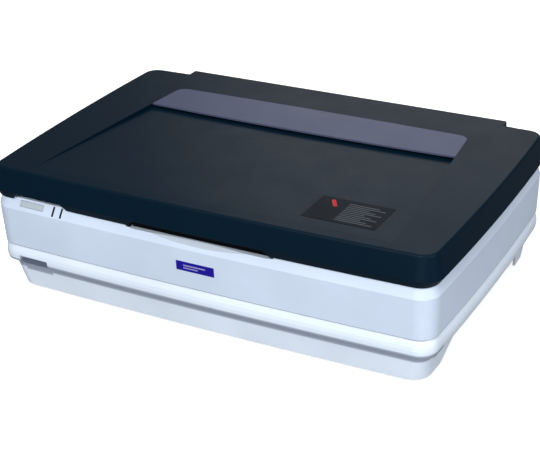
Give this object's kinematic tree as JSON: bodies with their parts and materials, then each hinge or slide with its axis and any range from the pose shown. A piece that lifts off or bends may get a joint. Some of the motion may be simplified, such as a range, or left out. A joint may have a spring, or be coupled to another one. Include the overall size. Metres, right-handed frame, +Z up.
{
  "type": "flatbed scanner",
  "caption": "Large-format flatbed scanner: white housing with carry grips, charcoal lid on rising hinges, belt-driven carriage under a platen glass, and push buttons.",
  "frame": {"origin": "centre of the rest plane under the feet, in the middle of the overall width and depth", "axes": "+X to the right seen from the front, +Y to the rear, +Z up"},
  "size_m": [0.656, 0.458, 0.186],
  "materials": {
    "lid_plastic": "fine-grained satin charcoal",
    "accent_plastic": "satin lavender grey",
    "label_film": "printed film",
    "tray_plastic": "moulded",
    "pad_foam": "open-cell foam",
    "white_mat": "smooth white sheet",
    "rubber": "matt",
    "screw_steel": "zinc plated",
    "housing_plastic": "fine-grained cool white",
    "frame_plastic": "fine-grained light grey",
    "clear_glass": "polished float glass",
    "badge_plastic": "glossy blue-violet",
    "button_plastic": "light grey",
    "power_plastic": "slate grey",
    "polished_steel": "ground and polished",
    "inner_plastic": "black moulded",
    "sheet_steel": "zinc-coated sheet",
    "gear_plastic": "natural acetal",
    "brass_metal": "turned",
    "motor_steel": "black",
    "lamp_glass": "frosted white tube",
    "reflector_metal": "bright",
    "mirror_glass": "first-surface",
    "board_laminate": "green solder resist",
    "port_metal": "tinned",
    "light_lens": "dark smoked",
    "hinge_steel": "black"
  },
  "bodies": {
    "base": {"upper_housing": "housing_plastic", "lower_housing": "housing_plastic", "platen_frame": "frame_plastic", "platen_glass": "clear_glass", "calibration_strip": "white_mat", "badge_plate": "badge_plastic", "housing_screws": "screw_steel", "guide_rod": "polished_steel", "rod_clamps": "inner_plastic", "support_rail": "sheet_steel", "timing_belt": "rubber", "stepper_motor": "motor_steel", "motor_bracket": "sheet_steel", "idler_bracket": "sheet_steel", "panel_board": "board_laminate", "main_board": "board_laminate", "power_supply": "sheet_steel", "rear_io_panel": "sheet_steel", "usb_port": "port_metal", "firewire_ports": "port_metal", "power_inlet": "inner_plastic", "ready_light_lens": "light_lens", "error_light_lens": "light_lens", "left_hinge_guide": "housing_plastic", "front_left_foot": "rubber", "rear_left_foot": "rubber", "right_hinge_guide": "housing_plastic", "front_right_foot": "rubber", "rear_right_foot": "rubber"},
    "lid": {"lid_shell": "lid_plastic", "lid_accent_plate": "accent_plastic", "lid_label": "label_film", "lid_inner_tray": "tray_plastic", "lid_foam_pad": "pad_foam", "document_mat": "white_mat", "lid_bumpers": "rubber", "lid_screws": "screw_steel", "left_lid_hinge_bracket": "hinge_steel", "right_lid_hinge_bracket": "hinge_steel"},
    "hinge_posts": {"left_hinge_post": "hinge_steel", "right_hinge_post": "hinge_steel", "left_hinge_pin": "polished_steel", "right_hinge_pin": "polished_steel"},
    "carriage": {"carriage_housing": "inner_plastic", "rod_bushings": "brass_metal", "belt_clamp": "inner_plastic", "glide_pads": "gear_plastic", "lamp": "lamp_glass", "lamp_reflector": "reflector_metal", "scan_mirrors": "mirror_glass", "lens_barrel": "motor_steel", "sensor_board": "board_laminate"},
    "drive_gear": {"drive_gear": "gear_plastic"},
    "motor_pinion": {"motor_pinion": "brass_metal"},
    "idler_pulley": {"idler_pulley": "brass_metal"},
    "start_button": {"start_button": "button_plastic"},
    "power_button": {"power_button": "power_plastic"},
    "transport_lock": {"transport_lock_knob": "power_plastic"}
  },
  "joints": [
    {"name": "hinge_rise", "type": "slide", "parent": "base", "child": "hinge_posts", "axis": [0, 0, 1], "range_m": [0, 0.03]},
    {"name": "lid_hinge", "type": "hinge", "parent": "hinge_posts", "child": "lid", "pos_m": [0, 0.208, 0.16], "axis": [-1, 0, 0], "range_deg": [0, 85]},
    {"name": "carriage_slide", "type": "slide", "parent": "base", "child": "carriage", "axis": [1, 0, 0], "range_m": [0, 0.46]},
    {"name": "drive_gear_spin", "type": "hinge", "parent": "base", "child": "drive_gear", "pos_m": [0.292, 0.1715, 0.092], "axis": [0, 1, 0], "range_deg": [0, 2700]},
    {"name": "motor_pinion_spin", "type": "hinge", "parent": "base", "child": "motor_pinion", "pos_m": [0.292, 0.1595, 0.116], "axis": [0, 1, 0], "range_deg": [-5400, 0]},
    {"name": "idler_pulley_spin", "type": "hinge", "parent": "base", "child": "idler_pulley", "pos_m": [-0.29, 0.1715, 0.092], "axis": [0, 1, 0], "range_deg": [0, 2700]},
    {"name": "start_button_press", "type": "slide", "parent": "base", "child": "start_button", "axis": [0.0223, 0.9484, -0.3162], "range_m": [0, 0.0015], "stiffness_N_per_m": 900},
    {"name": "power_button_press", "type": "slide", "parent": "base", "child": "power_button", "axis": [0, 1, 0], "range_m": [0, 0.0025], "stiffness_N_per_m": 700},
    {"name": "transport_lock_turn", "type": "hinge", "parent": "base", "child": "transport_lock", "pos_m": [-0.247, 0.186, 0.12], "axis": [0, 1, 0], "range_deg": [0, 90]}
  ],
  "couplings": [
    {"joint": "drive_gear_spin", "follows": "carriage_slide", "rad_per_m": 100},
    {"joint": "motor_pinion_spin", "follows": "carriage_slide", "rad_per_m": -200},
    {"joint": "idler_pulley_spin", "follows": "carriage_slide", "rad_per_m": 100}
  ]
}
